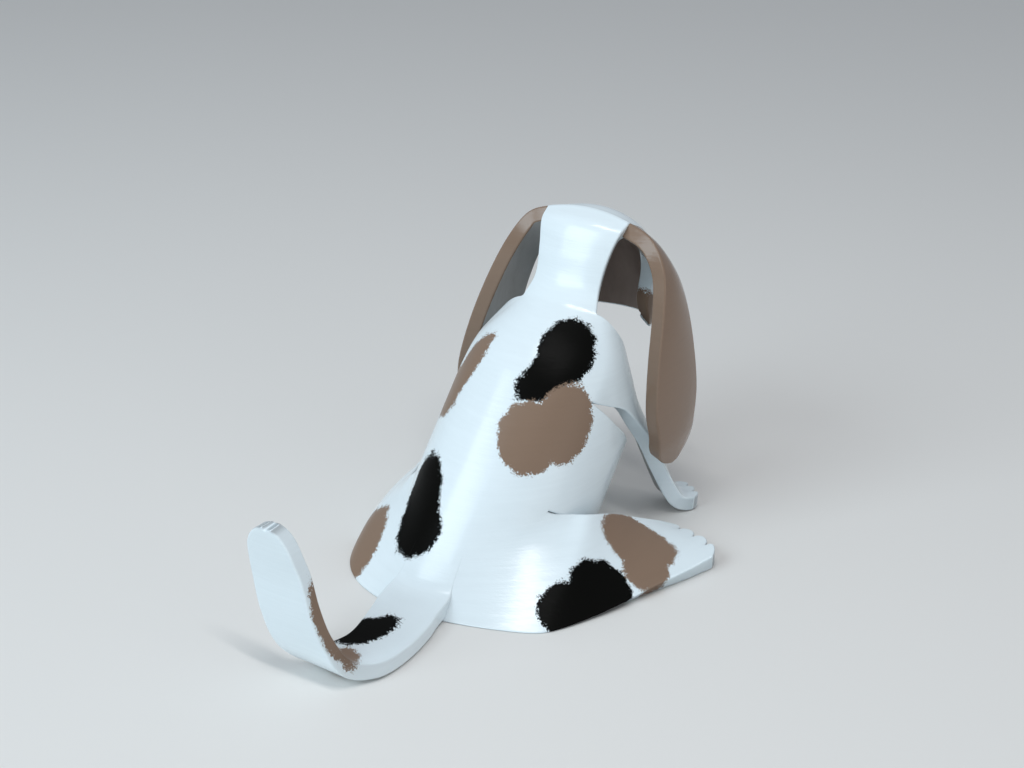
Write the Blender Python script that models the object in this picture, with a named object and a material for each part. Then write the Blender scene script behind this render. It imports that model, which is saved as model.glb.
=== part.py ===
"""Seated dog figure, made from one size of thick-walled plastic pipe.

The body is a pipe that leans forward and is cut off flat where it stands. Strips of the
same wall are opened out of it for the legs, the tail, the neck, the face and the ears, so
every formed piece is a curved sheet of one thickness. Only the nose and the eyes are solid.

World frame: metres, +Z up, the table is Z = 0, the dog faces -Y and its right is -X. The
origin is on the table, in the middle of the wall at the front of the pipe's lower end.
The outlines below are written as (right, forward, up) in millimetres from the foot of the
spine, and place() turns them into world coordinates.
"""

import math

import bmesh
import bpy
import numpy as np
from mathutils import Vector

# Driving dimensions, in millimetres unless a name says otherwise
PIPE_RADIUS = 44.45          # 3 inch pipe, 88.9 mm outside diameter
WALL = 7.6                   # heavy wall of that pipe
LEAN_DEGREES = 43.0          # the pipe's forward lean from upright
JOINT = 1.1                  # bonded joint between a limb and the body
GAP = 0.3                    # clearance between neighbouring pieces
HIND_CUT = 66.5              # hind-leg cut, measured up along the pipe
FRONT_CUT = 122.0            # front-leg cut, measured up along the pipe
CUT_ANGLE = 57.0             # both cuts stop this far round from the spine, in degrees
CUT_WIDTH = 3.0              # the cuts opened this far when the legs were formed
HEAD_SHIFT = 3.0             # the head sits this far to the dog's right
LEFT_LEG_INSET = 1.5         # the left front leg stands this much nearer the middle
EDGE_ROUNDING = 1.0          # rounding of the sawn edges
EAR_BULGE = 2.0              # crown of an ear across its width
TOE_DEPTH = 2.6              # depth of the notches between toes
NOSE_SIZE = (19.0, 10.0, 12.0)
EYE_SIZE = (8.0, 3.4, 10.0)
NOSE_ROW = 15                # row of the face that the nose sits on
EYE_ROW = 10                 # row of the face that the eyes sit on
EYE_STEP = 3                 # columns from the middle of the face to an eye

ACROSS = 7                   # facets across a formed strip
SPINE_ACROSS = 12            # facets across the back, the neck and the face
ALONG = 16                   # facets along a formed strip
AROUND = 26                  # facets round the belly
BELLY_ROWS = 5               # facets up the belly
HAUNCH_ROWS = 9              # facets up the back beside a hind leg
SHOULDER_ROWS = 7            # facets up the back beside a front leg
EAR_ROWS = 6                 # facets along the head beside an ear

LEAN = math.radians(LEAN_DEGREES)
ORIGIN_FORWARD = (2.0 * PIPE_RADIUS - 0.5 * WALL) / math.cos(LEAN)
MM = 0.001

# Colours (linear), roughness
PAINTED_WHITE = (0.80, 0.83, 0.85)
PAINTED_BROWN = (0.26, 0.175, 0.135)
GLOSS_BLACK = (0.012, 0.012, 0.012)


def place(points):
    """Turn (right, forward, up) millimetres into world metres."""
    points = np.asarray(points, dtype=float)
    right, forward, up = points[..., 0], points[..., 1], points[..., 2]
    return np.stack([-right, ORIGIN_FORWARD - forward, up], axis=-1) * MM


def mirror(stations, inset):
    """The same stations on the dog's other side, this much nearer the middle."""
    return [
        tuple((inset - right, forward, up) for right, forward, up in row) for row in stations
    ]


def pipe_point(degrees, along, radius=PIPE_RADIUS):
    """Point on the pipe: degrees round from the spine, along the axis from the foot."""
    angle = math.radians(degrees)
    back = radius * math.cos(angle)
    axis_forward = along * math.sin(LEAN) + PIPE_RADIUS * math.cos(LEAN)
    axis_up = along * math.cos(LEAN) - PIPE_RADIUS * math.sin(LEAN)
    return (
        radius * math.sin(angle),
        axis_forward - back * math.cos(LEAN),
        axis_up + back * math.sin(LEAN),
    )


def table_cut(degrees, radius=PIPE_RADIUS):
    """Distance along the axis at which the pipe meets the table."""
    return math.tan(LEAN) * (PIPE_RADIUS - radius * math.cos(math.radians(degrees)))


def spline(points, count, first=0, last=None):
    """Smooth curve through the points, sampled between its first and last named points."""
    points = np.asarray(points, dtype=float)
    before = 2.0 * points[0] - points[1]
    after = 2.0 * points[-1] - points[-2]
    padded = np.vstack([before, points, after])
    samples = np.linspace(first, len(points) - 1.0 if last is None else last, count)
    curve = []
    for value in samples:
        index = min(int(value), len(points) - 2)
        local = value - index
        p0, p1, p2, p3 = padded[index:index + 4]
        curve.append(
            p1
            + 0.5 * local * (p2 - p0)
            + local ** 2 * (p0 - 2.5 * p1 + 2.0 * p2 - 0.5 * p3)
            + local ** 3 * (1.5 * (p1 - p2) + 0.5 * (p3 - p0))
        )
    return np.array(curve)


def arc(start, crest, end, count):
    """Points along the circle arc through three points, evenly spaced."""
    middle = 0.5 * (start + end)
    chord = end - start
    half = 0.5 * np.linalg.norm(chord)
    side = chord / (2.0 * half)
    rise = crest - middle
    rise = rise - side * (rise @ side)
    height = max(np.linalg.norm(rise), 1e-6)
    normal = rise / height
    radius = (half * half + height * height) / (2.0 * height)
    opening = math.atan2(half, radius - height)
    angles = np.linspace(-opening, opening, count)
    centre = middle + normal * (height - radius)
    return centre + radius * (np.outer(np.sin(angles), side) + np.outer(np.cos(angles), normal))


def arc_rows(stations, along=ALONG, across=ACROSS, first=0, last=None):
    """Outer surface of a strip: every row is an arc through edge, crest and edge."""
    rails = [spline([row[k] for row in stations], along + 1, first, last) for k in range(3)]
    return np.array([arc(a, c, b, across + 1) for a, c, b in zip(*rails)])


def unit_normals(rows):
    """Unit normals of a grid of points."""
    down = np.gradient(rows, axis=0, edge_order=2)
    across = np.gradient(rows, axis=1, edge_order=2)
    normals = np.cross(down, across)
    return normals / np.linalg.norm(normals, axis=2, keepdims=True)


def trim(rows, start=0.0, end=0.0, left=0.0, right=0.0):
    """Pull the borders of a grid in along the surface by the given millimetres."""
    rows = rows.copy()
    for border, neighbour, amount in (
        ((0,), (1,), start),
        ((-1,), (-2,), end),
        ((slice(None), 0), (slice(None), 1), left),
        ((slice(None), -1), (slice(None), -2), right),
    ):
        step = rows[neighbour] - rows[border]
        length = np.linalg.norm(step, axis=-1, keepdims=True)
        rows[border] = rows[border] + step / np.maximum(length, 1e-9) * amount
    return rows


def toes(rows, count):
    """Cut small notches into the last row, so that the end has this many toes."""
    rows = rows.copy()
    inward = rows[-2] - rows[-1]
    inward = inward / np.linalg.norm(inward, axis=1, keepdims=True)
    across = np.linspace(0.0, count, rows.shape[1])
    depth = TOE_DEPTH * (1.0 - np.abs(np.sin(np.pi * across)) ** 0.6)
    depth[0] = depth[-1] = 0.5 * TOE_DEPTH
    rows[-1] += inward * depth[:, None]
    return rows


def material(name, colour, roughness):
    """Plain painted plastic."""
    made = bpy.data.materials.new(name)
    made.use_nodes = True
    shader = made.node_tree.nodes["Principled BSDF"]
    shader.inputs["Base Color"].default_value = (*colour, 1.0)
    shader.inputs["Roughness"].default_value = roughness
    shader.inputs["Metallic"].default_value = 0.0
    made.diffuse_color = (*colour, 1.0)
    return made


def link(name, mesh, colour, roughness):
    """Add a mesh to the scene as a named piece with its own material."""
    piece = bpy.data.objects.new(name, mesh)
    bpy.context.scene.collection.objects.link(piece)
    mesh.materials.append(material(name + "_finish", colour, roughness))
    mesh.shade_smooth()
    mesh.set_sharp_from_angle(angle=math.radians(35.0))
    return piece


def sheet(name, rows, colour, free="", flip=False, normals=None, inner=None):
    """Closed sheet of wall thickness under a grid of outer-surface points.

    free lists the borders that are sawn edges and get rounded: any of the words
    start, end, left and right. The other borders meet a neighbouring piece. The inner
    surface lies one wall below the outer one, unless it is given.
    """
    if inner is None:
        if normals is None:
            normals = unit_normals(rows)
        inner = rows + (WALL if flip else -WALL) * normals
    outer_points = rows.copy()
    outer_points[..., 2] = np.maximum(outer_points[..., 2], 0.0)
    inner[..., 2] = np.maximum(inner[..., 2], 0.0)
    count_along, count_across = rows.shape[:2]

    mesh = bpy.data.meshes.new(name)
    made = bmesh.new()
    grids = []
    for layer in (outer_points, inner):
        layer = place(layer)
        grids.append([[made.verts.new(point) for point in row] for row in layer])
    outer_grid, inner_grid = grids
    for i in range(count_along - 1):
        for j in range(count_across - 1):
            for grid, turn in ((outer_grid, 1), (inner_grid, -1)):
                corners = [grid[i][j], grid[i][j + 1], grid[i + 1][j + 1], grid[i + 1][j]]
                made.faces.new(corners[::turn])
    borders = {
        "start": ([row for row in outer_grid[0]], [row for row in inner_grid[0]]),
        "end": (outer_grid[-1], inner_grid[-1]),
        "left": ([row[0] for row in outer_grid], [row[0] for row in inner_grid]),
        "right": ([row[-1] for row in outer_grid], [row[-1] for row in inner_grid]),
    }
    weight = made.edges.layers.float.new("bevel_weight_edge")
    for border, (outer_line, inner_line) in borders.items():
        for k in range(len(outer_line) - 1):
            made.faces.new(
                (outer_line[k], inner_line[k], inner_line[k + 1], outer_line[k + 1])
            )
            if border in free:
                for line in (outer_line, inner_line):
                    made.edges.get((line[k], line[k + 1]))[weight] = 1.0
    bmesh.ops.recalc_face_normals(made, faces=made.faces)
    made.to_mesh(mesh)
    made.free()

    piece = link(name, mesh, colour, 0.3)
    bevel = piece.modifiers.new("sawn_edge", "BEVEL")
    bevel.limit_method = "WEIGHT"
    bevel.width = EDGE_ROUNDING * MM
    bevel.segments = 1
    return piece


# Lines that two pieces share, from low to high

def haunch_seam(side):
    """Where the opened hind leg leaves the back."""
    return [
        (side * 26.0, 3.0, 0.0),
        (side * 30.5, 31.0, 17.3),
        pipe_point(side * CUT_ANGLE, HIND_CUT),
    ]


def shoulder_seam(side):
    """Where the front leg leaves the back, from the front cut up to the neck."""
    return [
        pipe_point(side * CUT_ANGLE, FRONT_CUT),
        (side * 34.0 + 0.3 * HEAD_SHIFT, 111.0, 91.0),
        (side * 21.0 + HEAD_SHIFT, 123.5, 108.0),
    ]


def ear_seam(side):
    """Where an ear hangs from the head, from the neck forward."""
    return [
        (side * 23.0 + HEAD_SHIFT, 149.0, 146.0),
        (side * 25.0 + HEAD_SHIFT, 159.0, 140.0),
        (side * 26.5 + HEAD_SHIFT, 168.0, 129.0),
    ]


def resample(points, count):
    """Evenly spaced picks along a run of points."""
    points = np.asarray(points)
    places = np.linspace(0.0, len(points) - 1.0, count)
    low = np.minimum(places.astype(int), len(points) - 2)
    share = (places - low)[:, None]
    return points[low] * (1.0 - share) + points[low + 1] * share


def joined_rows(border, normals, stations, along, across):
    """Strip that starts on a neighbour's border, with the neighbour's normals there."""
    first = resample(border, across + 1)
    first_normals = resample(normals, across + 1)
    start = (first[0], first[across // 2], first[-1])
    rows = arc_rows([start] + stations, along, across)
    rows[0] = first
    strip_normals = unit_normals(rows)
    if np.sum(strip_normals[0] * first_normals) < 0.0:
        first_normals = -first_normals
    strip_normals[0] = first_normals
    strip_normals[1] += first_normals
    strip_normals /= np.linalg.norm(strip_normals, axis=2, keepdims=True)
    return trim(rows, start=JOINT), strip_normals


def back_rows():
    """Outer surface along the spine, from the table up to the neck."""
    left, right = haunch_seam(-1), haunch_seam(1)
    stations = [
        (left[0], (0.0, 0.0, 0.0), right[0]),
        (left[1], pipe_point(0, 0.5 * HIND_CUT), right[1]),
        (left[2], pipe_point(0, HIND_CUT), right[2]),
    ]
    for along in (0.5 * (HIND_CUT + FRONT_CUT), FRONT_CUT):
        stations.append(tuple(pipe_point(a, along) for a in (-CUT_ANGLE, 0, CUT_ANGLE)))
    left, right = shoulder_seam(-1), shoulder_seam(1)
    stations.append((left[1], (0.3 * HEAD_SHIFT, 99.5, 101.0), right[1]))
    stations.append((left[2], (HEAD_SHIFT, 118.5, 111.5), right[2]))
    angles = np.linspace(-CUT_ANGLE, CUT_ANGLE, SPINE_ACROSS + 1)
    middle = [
        [pipe_point(angle, along) for angle in angles]
        for along in np.linspace(HIND_CUT, FRONT_CUT, 5)[1:-1]
    ]
    return np.vstack([
        arc_rows(stations, HAUNCH_ROWS, SPINE_ACROSS, first=0, last=2),
        middle,
        arc_rows(stations, SHOULDER_ROWS, SPINE_ACROSS, first=4),
    ])


def neck_rows():
    """Outer surface of the narrow strip from the shoulders up to the crown."""
    shift = HEAD_SHIFT
    low_left, low_right = shoulder_seam(-1)[2], shoulder_seam(1)[2]
    top_left, top_right = ear_seam(-1)[0], ear_seam(1)[0]
    stations = [
        (low_left, (shift, 118.5, 111.5), low_right),
        ((shift - 18.0, 130.0, 118.0), (shift, 126.0, 119.0), (shift + 18.5, 130.0, 118.0)),
        ((shift - 19.3, 135.5, 131.0), (shift, 131.5, 132.0), (shift + 19.6, 135.5, 131.0)),
        ((shift - 22.0, 141.5, 141.5), (shift, 138.0, 144.5), (shift + 22.0, 141.5, 141.5)),
        (top_left, (shift, 149.0, 149.5), top_right),
    ]
    return arc_rows(stations, 11, SPINE_ACROSS)


def face_rows():
    """Outer surface of the forehead, muzzle and cheeks: a channel open to the back."""
    shift = HEAD_SHIFT
    left, right = ear_seam(-1), ear_seam(1)
    stations = [
        (left[0], (shift, 149.0, 149.5), right[0]),
        (left[1], (shift, 162.0, 146.5), right[1]),
        (left[2], (shift, 177.0, 137.0), right[2]),
        ((shift - 28.0, 167.0, 117.0), (shift, 190.0, 121.0), (shift + 28.0, 167.0, 117.0)),
        ((shift - 28.0, 160.0, 104.0), (shift, 196.0, 104.0), (shift + 28.0, 160.0, 104.0)),
        ((shift - 27.0, 164.0, 92.0), (shift, 199.0, 92.0), (shift + 27.0, 164.0, 92.0)),
        ((shift - 23.0, 172.0, 84.0), (shift, 198.0, 82.0), (shift + 23.0, 172.0, 84.0)),
    ]
    return arc_rows(stations, 3 * EAR_ROWS, SPINE_ACROSS)


def spine():
    """Back, neck and face: one run of wall, parted by two bonded joints.

    Returns the borders that the legs, the ears and the tail are joined to.
    """
    back, climb, face = back_rows(), neck_rows(), face_rows()
    normals = unit_normals(np.vstack([back, climb[1:], face[1:]]))
    low, high = len(back) - 1, len(back) + len(climb) - 2
    sheet(
        "back_panel", trim(back, end=GAP), PAINTED_WHITE,
        free="start", flip=True, normals=normals[:low + 1],
    )
    sheet(
        "neck", trim(climb, start=GAP, end=GAP), PAINTED_WHITE,
        free="left right", flip=True, normals=normals[low:high + 1],
    )
    sheet(
        "face_panel", trim(face, start=GAP), PAINTED_WHITE,
        free="end left right", flip=True, normals=normals[high:],
    )
    borders = {}
    for side, column in ((-1, 0), (1, -1)):
        for name, rows, offset, first, last in (
            ("haunch", back, 0, 0, HAUNCH_ROWS),
            ("shoulder", back, 0, low - SHOULDER_ROWS, low),
            ("ear", face, high, 0, EAR_ROWS),
        ):
            points = rows[first:last + 1, column]
            borders[name, side] = (points, normals[offset + first:offset + last + 1, column])
    return back, borders


def belly_rows(radius):
    """One surface of the pipe round the flanks and the belly, between the two leg cuts."""
    low, high = HIND_CUT + CUT_WIDTH, FRONT_CUT - CUT_WIDTH
    angles = np.linspace(CUT_ANGLE, 360.0 - CUT_ANGLE, AROUND + 1)
    starts = [max(low, table_cut(angle, radius)) for angle in angles]
    rows = [
        [pipe_point(a, start + share * (high - start), radius) for a, start in zip(angles, starts)]
        for share in np.linspace(0.0, 1.0, BELLY_ROWS + 1)
    ]
    return trim(np.array(rows), left=GAP, right=GAP)


def belly_panel():
    """Pipe wall round the flanks and the belly, standing on its sawn lower end."""
    return sheet(
        "belly_panel", belly_rows(PIPE_RADIUS), PAINTED_WHITE, free="start end",
        inner=belly_rows(PIPE_RADIUS - WALL),
    )


def ear(name, side, border):
    """Long leaf that hangs from the side of the head, over the shoulder."""
    back_edge = [
        (35.0, 149.5, 140.0), (44.5, 145.5, 126.0), (50.0, 136.0, 108.0), (54.0, 126.0, 87.0),
        (57.0, 120.0, 66.0), (59.0, 122.0, 50.0), (59.0, 131.0, 39.0), (58.5, 138.0, 35.0),
    ]
    front_edge = [
        (34.0, 167.0, 125.0), (41.5, 167.0, 116.0), (48.0, 165.5, 102.0), (53.0, 163.5, 85.0),
        (57.0, 160.5, 66.0), (58.5, 157.0, 50.0), (58.5, 150.0, 39.0), (58.5, 144.0, 35.0),
    ]
    stations = []
    for back, front in zip(back_edge, front_edge):
        crest = 0.5 * (np.array(back) + np.array(front)) + (EAR_BULGE, 0.0, 0.0)
        stations.append(tuple(
            (side * right + HEAD_SHIFT, forward, up) for right, forward, up in (back, crest, front)
        ))
    rows, normals = joined_rows(*border, stations, ALONG, ACROSS)
    return sheet(
        name, rows, PAINTED_BROWN, free="end left right", flip=side < 0, normals=normals
    )


def front_leg(name, side, border):
    """Strip from the shoulder down to a small forward foot."""
    stations = [
        ((41.0, 107.5, 70.0), (40.0, 119.0, 85.0), (33.5, 129.5, 97.0)),
        ((44.5, 118.0, 64.5), (41.5, 127.5, 75.5), (33.5, 137.0, 82.0)),
        ((47.5, 127.0, 54.0), (42.0, 135.5, 60.0), (33.5, 142.0, 63.0)),
        ((50.5, 134.0, 44.0), (44.0, 142.0, 47.0), (35.5, 148.0, 49.0)),
        ((55.0, 140.0, 28.0), (48.5, 147.5, 30.0), (39.5, 154.0, 31.0)),
        ((60.0, 146.0, 13.0), (53.0, 152.5, 14.0), (44.5, 159.0, 14.0)),
        ((63.0, 150.5, 8.3), (56.0, 156.5, 8.8), (48.0, 162.0, 8.3)),
        ((66.5, 157.0, 7.6), (60.0, 163.0, 7.9), (52.0, 166.5, 7.6)),
    ]
    if side < 0:
        stations = mirror(stations, LEFT_LEG_INSET)
    rows, normals = joined_rows(*border, stations, ALONG, 9)
    return sheet(
        name, toes(rows, 3), PAINTED_WHITE, free="end left right", flip=side < 0,
        normals=normals,
    )


def hind_leg(name, side, border, stations):
    """Pipe wall opened out beside the body until it lies flat at the foot."""
    rows, normals = joined_rows(*border, stations, ALONG, 12)
    return sheet(
        name, toes(rows, 4), PAINTED_WHITE, free="end left right", flip=side < 0,
        normals=normals,
    )


def right_hind_leg(border):
    """Opened wide, pointing out to the right."""
    stations = [
        ((46.0, 10.0, 0.0), (46.5, 37.5, 14.0), (44.0, 70.0, 31.3)),
        ((62.0, 19.5, 0.5), (58.5, 47.5, 14.5), (51.0, 77.0, 30.0)),
        ((75.5, 44.0, 2.0), (66.5, 67.5, 14.0), (55.0, 91.0, 25.0)),
        ((86.0, 71.0, 4.5), (73.5, 88.0, 12.0), (59.5, 105.0, 18.0)),
        ((96.0, 98.0, 6.5), (81.0, 108.5, 9.6), (64.0, 118.0, 11.5)),
        ((99.5, 116.0, 7.6), (83.5, 122.5, 8.0), (66.0, 125.5, 7.6)),
    ]
    return hind_leg("right_hind_leg", 1, border, stations)


def left_hind_leg(border):
    """Opened less, pointing forward."""
    stations = [
        ((-38.0, 8.0, 0.0), (-43.0, 34.5, 14.5), (-42.5, 63.0, 30.0)),
        ((-51.0, 24.0, 0.5), (-53.0, 49.0, 14.5), (-49.0, 74.0, 25.0)),
        ((-60.5, 49.0, 2.0), (-60.0, 70.5, 14.0), (-54.5, 90.0, 22.0)),
        ((-69.0, 77.0, 4.5), (-64.0, 93.0, 11.5), (-56.0, 107.0, 15.0)),
        ((-72.0, 104.0, 6.5), (-65.0, 115.0, 8.7), (-54.5, 121.0, 9.2)),
        ((-74.0, 118.0, 7.6), (-66.0, 126.0, 8.0), (-54.0, 128.0, 7.6)),
    ]
    return hind_leg("left_hind_leg", -1, border, stations)


def back_at(back, right, up):
    """How far forward the back's outer surface lies at this place and height."""
    forward, height = [], []
    for row in back[:HAUNCH_ROWS]:
        forward.append(np.interp(right, row[:, 0], row[:, 1]))
        height.append(np.interp(right, row[:, 0], row[:, 2]))
    return np.interp(up, height, forward)


def tail(back):
    """Strip that leaves the foot of the spine along the table and curls up."""
    stations = [
        ((18.0, 6.0, 7.6), (2.0, 6.0, 7.8), (-14.0, 6.0, 7.6)),
        ((22.5, -15.0, 7.6), (7.0, -15.5, 8.0), (-9.0, -15.0, 7.6)),
        ((24.0, -32.0, 7.6), (9.5, -33.0, 7.8), (-4.5, -33.0, 7.6)),
        ((22.0, -48.0, 8.2), (8.5, -46.5, 8.0), (-5.0, -43.5, 8.0)),
        ((14.5, -57.5, 11.0), (2.0, -55.5, 9.8), (-9.5, -53.0, 8.6)),
        ((5.5, -59.0, 20.0), (-9.0, -59.0, 17.0), (-21.0, -58.5, 14.0)),
        ((0.0, -59.5, 33.0), (-14.5, -60.0, 30.5), (-27.0, -60.0, 27.5)),
        ((-4.5, -59.0, 48.0), (-18.0, -59.5, 46.5), (-31.0, -59.0, 45.0)),
        ((-8.0, -59.5, 59.0), (-20.0, -59.7, 59.0), (-31.5, -59.5, 58.0)),
        ((-15.0, -60.0, 66.5), (-20.5, -60.0, 67.5), (-26.0, -60.0, 66.5)),
    ]
    rows = arc_rows(stations, along=24, across=6)
    normals = -unit_normals(rows)
    for k, (right, _, _) in enumerate(rows[0]):
        top = np.array((right, back_at(back, right, WALL) - 1.5 * GAP, WALL))
        foot = np.array((right, back_at(back, right, 0.0) - 1.5 * GAP, 0.0))
        rows[0, k] = top
        normals[0, k] = (top - foot) / WALL
    return sheet("tail", rows, PAINTED_WHITE, free="end left right", normals=normals)


def pad(name, centre, size, facing, colour, point_down=0.0):
    """Rounded solid pad with a flat base: half of a squashed ball."""
    width, depth, height = size
    mesh = bpy.data.meshes.new(name)
    made = bmesh.new()
    bmesh.ops.create_uvsphere(made, u_segments=16, v_segments=12, radius=0.5)
    bmesh.ops.bisect_plane(
        made, geom=made.verts[:] + made.edges[:] + made.faces[:], dist=1e-6,
        plane_co=(0, 0, 0), plane_no=(0, 1, 0), clear_outer=True,
    )
    rim = [edge for edge in made.edges if edge.is_boundary]
    bmesh.ops.contextual_create(made, geom=rim)
    for vert in made.verts:
        taper = 1.0 + point_down * vert.co.z
        vert.co.x *= width * taper * MM
        vert.co.y *= 2.0 * depth * MM
        vert.co.z *= height * MM
    bmesh.ops.recalc_face_normals(made, faces=made.faces)
    made.to_mesh(mesh)
    made.free()
    piece = link(name, mesh, colour, 0.15)
    outward = Vector((-facing[0], -facing[1], facing[2]))
    piece.rotation_euler = outward.to_track_quat("-Y", "Z").to_euler()
    piece.location = place(centre)
    return piece


def on_face(row, column, lift):
    """Point just off the face, and the direction it faces there."""
    rows = face_rows()
    normal = -unit_normals(rows)[row, column]
    return rows[row, column] + normal * lift, normal


def build():
    """Clear the scene and make every piece."""
    for old in list(bpy.data.objects):
        bpy.data.objects.remove(old, do_unlink=True)
    back, borders = spine()
    belly_panel()
    for word, side in (("right", 1), ("left", -1)):
        ear(word + "_ear", side, borders["ear", side])
        front_leg(word + "_front_leg", side, borders["shoulder", side])
    right_hind_leg(borders["haunch", 1])
    left_hind_leg(borders["haunch", -1])
    tail(back)
    middle = SPINE_ACROSS // 2
    centre, facing = on_face(NOSE_ROW, middle, GAP)
    pad("nose", centre, NOSE_SIZE, facing, GLOSS_BLACK, 0.5)
    for word, step in (("right", EYE_STEP), ("left", -EYE_STEP)):
        centre, facing = on_face(EYE_ROW, middle + step, GAP)
        pad(word + "_eye", centre, EYE_SIZE, facing, GLOSS_BLACK)


build()
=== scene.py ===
"""Painted seated dog figure, made of heat-formed thick-walled plastic pipe.

Every strip of the pipe is rebuilt here as a fine shell with rounded sawn edges, from the
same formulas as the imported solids, and painted with procedural materials. The outlines are
written as (right, forward, up) in millimetres from the foot of the spine, and place() turns
them into the frame's metres: +Z up, the dog faces -Y, its right is -X.
"""

import math

import bpy
import numpy as np
from mathutils import Matrix, Vector


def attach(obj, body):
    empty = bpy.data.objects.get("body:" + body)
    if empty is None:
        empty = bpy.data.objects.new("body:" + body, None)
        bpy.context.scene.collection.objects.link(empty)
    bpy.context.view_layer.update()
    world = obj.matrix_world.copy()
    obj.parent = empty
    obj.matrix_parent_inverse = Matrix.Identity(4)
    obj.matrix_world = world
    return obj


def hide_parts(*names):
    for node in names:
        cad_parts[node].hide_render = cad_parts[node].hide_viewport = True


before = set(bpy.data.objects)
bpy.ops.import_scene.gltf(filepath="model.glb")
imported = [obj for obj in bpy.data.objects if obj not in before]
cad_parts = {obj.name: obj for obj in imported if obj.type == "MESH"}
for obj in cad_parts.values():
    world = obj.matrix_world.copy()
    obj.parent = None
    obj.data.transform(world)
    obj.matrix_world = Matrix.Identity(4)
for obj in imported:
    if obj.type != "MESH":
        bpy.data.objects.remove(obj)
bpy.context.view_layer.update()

# Driving dimensions of the figure, in millimetres unless a name says otherwise
PIPE_RADIUS = 44.45          # 3 inch pipe, 88.9 mm outside diameter
WALL = 7.6                   # heavy wall of that pipe
LEAN = math.radians(43.0)    # the pipe's forward lean from upright
ORIGIN_FORWARD = (2.0 * PIPE_RADIUS - 0.5 * WALL) / math.cos(LEAN)
HIND_CUT = 66.5              # hind-leg cut, measured up along the pipe
FRONT_CUT = 122.0            # front-leg cut, measured up along the pipe
CUT_ANGLE = 57.0             # both cuts stop this far round from the spine, in degrees
CUT_WIDTH = 3.0              # the cuts opened this far when the legs were formed
CUT_OPENING = 30.0           # degrees round the pipe over which a cut opens up
HEAD_SHIFT = 3.0             # the head sits this far to the dog's right
LEFT_LEG_INSET = 1.5         # the left front leg stands this much nearer the middle
EAR_BULGE = 2.0              # crown of an ear across its width
TOE_DEPTH = 4.2              # depth of the notches between toes
TOE_REACH = 14.0             # how far up the foot the notches are felt
EDGE = 1.0                   # rounding of the sawn and painted edges
RIM_STEPS = 4                # facets round each rounded edge
MM = 0.001

# Facets of the fine shells
SPINE_ACROSS = 48
HAUNCH_ROWS = 36
CUT_ROWS = 17
SHOULDER_ROWS = 28
NECK_ROWS = 36
EAR_ROWS = 20
LIMB_ALONG = 72
TAIL_ALONG = 110
TAIL_ACROSS = 24
BELLY_AROUND = 120
BELLY_ROWS = 22


def place(points):
    """Turn (right, forward, up) millimetres into world metres."""
    points = np.asarray(points, dtype=float)
    right, forward, up = points[..., 0], points[..., 1], points[..., 2]
    return np.stack([-right, ORIGIN_FORWARD - forward, up], axis=-1) * MM


def mirror(stations, inset):
    """The same stations on the dog's other side, this much nearer the middle."""
    return [
        tuple((inset - right, forward, up) for right, forward, up in row) for row in stations
    ]


def pipe_point(degrees, along, radius=PIPE_RADIUS):
    """Point on the pipe: degrees round from the spine, along the axis from the foot."""
    angle = math.radians(degrees)
    back = radius * math.cos(angle)
    axis_forward = along * math.sin(LEAN) + PIPE_RADIUS * math.cos(LEAN)
    axis_up = along * math.cos(LEAN) - PIPE_RADIUS * math.sin(LEAN)
    return (
        radius * math.sin(angle),
        axis_forward - back * math.cos(LEAN),
        axis_up + back * math.sin(LEAN),
    )


def table_cut(degrees, radius=PIPE_RADIUS):
    """Distance along the axis at which the pipe meets the table."""
    return math.tan(LEAN) * (PIPE_RADIUS - radius * math.cos(math.radians(degrees)))


def spline(points, count, first=0, last=None):
    """Smooth curve through the points, sampled between its first and last named points."""
    points = np.asarray(points, dtype=float)
    before = 2.0 * points[0] - points[1]
    after = 2.0 * points[-1] - points[-2]
    padded = np.vstack([before, points, after])
    samples = np.linspace(first, len(points) - 1.0 if last is None else last, count)
    curve = []
    for value in samples:
        index = min(int(value), len(points) - 2)
        local = value - index
        p0, p1, p2, p3 = padded[index:index + 4]
        curve.append(
            p1
            + 0.5 * local * (p2 - p0)
            + local ** 2 * (p0 - 2.5 * p1 + 2.0 * p2 - 0.5 * p3)
            + local ** 3 * (1.5 * (p1 - p2) + 0.5 * (p3 - p0))
        )
    return np.array(curve)


def arc(start, crest, end, count):
    """Points along the circle arc through three points, evenly spaced."""
    middle = 0.5 * (start + end)
    chord = end - start
    half = 0.5 * np.linalg.norm(chord)
    side = chord / (2.0 * half)
    rise = crest - middle
    rise = rise - side * (rise @ side)
    height = max(np.linalg.norm(rise), 1e-6)
    normal = rise / height
    radius = (half * half + height * height) / (2.0 * height)
    opening = math.atan2(half, radius - height)
    angles = np.linspace(-opening, opening, count)
    centre = middle + normal * (height - radius)
    return centre + radius * (np.outer(np.sin(angles), side) + np.outer(np.cos(angles), normal))


def arc_rows(stations, along, across, first=0, last=None):
    """Outer surface of a strip: every row is an arc through edge, crest and edge."""
    rails = [spline([row[k] for row in stations], along + 1, first, last) for k in range(3)]
    return np.array([arc(a, c, b, across + 1) for a, c, b in zip(*rails)])


def unit(vectors):
    """The vectors at length one."""
    return vectors / np.maximum(np.linalg.norm(vectors, axis=-1, keepdims=True), 1e-12)


def outward_normals(rows, towards):
    """Unit normals of a grid of points, on the side that the direction points to."""
    normals = unit(np.cross(
        np.gradient(rows, axis=0, edge_order=2), np.gradient(rows, axis=1, edge_order=2)
    ))
    middle = normals[len(rows) // 2, rows.shape[1] // 2]
    return -normals if middle @ np.array(towards) < 0.0 else normals


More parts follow.
